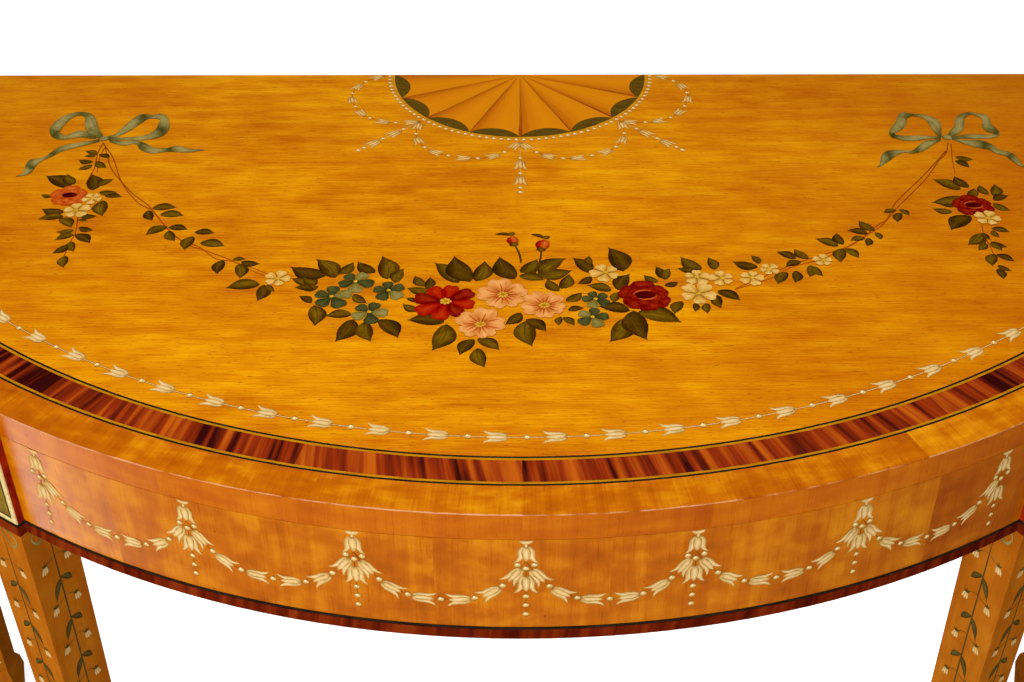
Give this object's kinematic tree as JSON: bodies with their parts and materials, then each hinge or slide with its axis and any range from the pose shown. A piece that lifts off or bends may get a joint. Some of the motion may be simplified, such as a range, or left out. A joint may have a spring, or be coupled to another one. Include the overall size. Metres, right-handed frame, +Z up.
{
  "type": "demilune table",
  "caption": "Demilune pier table with a veneered bow-fronted top, fan inlay, banded edge, curved frieze, inlaid leg blocks and square tapered legs on spade feet.",
  "frame": {"origin": "centre of the table's box in plan, at floor level", "axes": "+X along the straight back edge, +Y towards the wall, +Z up; the bowed front faces -Y"},
  "size_m": [1.2898, 0.5508, 0.84],
  "materials": {
    "satinwood": "french polished satinwood, golden orange",
    "rosewood": "polished rosewood with dark stripes",
    "boxwood": "polished boxwood string",
    "ebonised_wood": "black stained string and bead",
    "harewood": "green stained sycamore",
    "holly": "cream holly string",
    "red_veneer": "dark red stained veneer",
    "pine": "planed pine, aged, unpolished"
  },
  "bodies": {
    "root": {"back_glue_blocks": "pine", "back_rail": "pine", "border_crossband": "satinwood", "centre_bearer": "pine", "fan_blades": "satinwood", "fan_ring": "satinwood", "fan_scallops": "harewood", "frieze_beads": "ebonised_wood", "front_base_moulding": "rosewood", "front_frieze_veneer": "satinwood", "front_glue_blocks": "pine", "front_rail_lower_course": "pine", "front_rail_middle_course": "pine", "front_rail_upper_course": "pine", "inner_black_string": "ebonised_wood", "inner_boxwood_string": "boxwood", "left_base_moulding": "rosewood", "left_frieze_veneer": "satinwood", "left_front_block_black_line": "ebonised_wood", "left_front_block_cream_string": "holly", "left_front_block_returns": "red_veneer", "left_front_block_tablet": "harewood", "left_front_leg": "satinwood", "left_rail_lower_course": "pine", "left_rail_middle_course": "pine", "left_rail_upper_course": "pine", "left_rear_block_black_line": "ebonised_wood", "left_rear_block_cream_string": "holly", "left_rear_block_returns": "red_veneer", "left_rear_block_tablet": "harewood", "left_rear_leg": "satinwood", "leg_block_beads": "ebonised_wood", "leg_block_mouldings": "rosewood", "outer_black_string": "ebonised_wood", "outer_boxwood_string": "boxwood", "right_base_moulding": "rosewood", "right_frieze_veneer": "satinwood", "right_front_block_black_line": "ebonised_wood", "right_front_block_cream_string": "holly", "right_front_block_returns": "red_veneer", "right_front_block_tablet": "harewood", "right_front_leg": "satinwood", "right_rail_lower_course": "pine", "right_rail_middle_course": "pine", "right_rail_upper_course": "pine", "right_rear_block_black_line": "ebonised_wood", "right_rear_block_cream_string": "holly", "right_rear_block_returns": "red_veneer", "right_rear_block_tablet": "harewood", "right_rear_leg": "satinwood", "rosewood_crossband": "rosewood", "side_glue_blocks": "pine", "top_board_1": "pine", "top_board_2": "pine", "top_board_3": "pine", "top_board_4": "pine", "top_edge_banding": "satinwood", "top_field_veneer": "satinwood"}
  },
  "joints": []
}
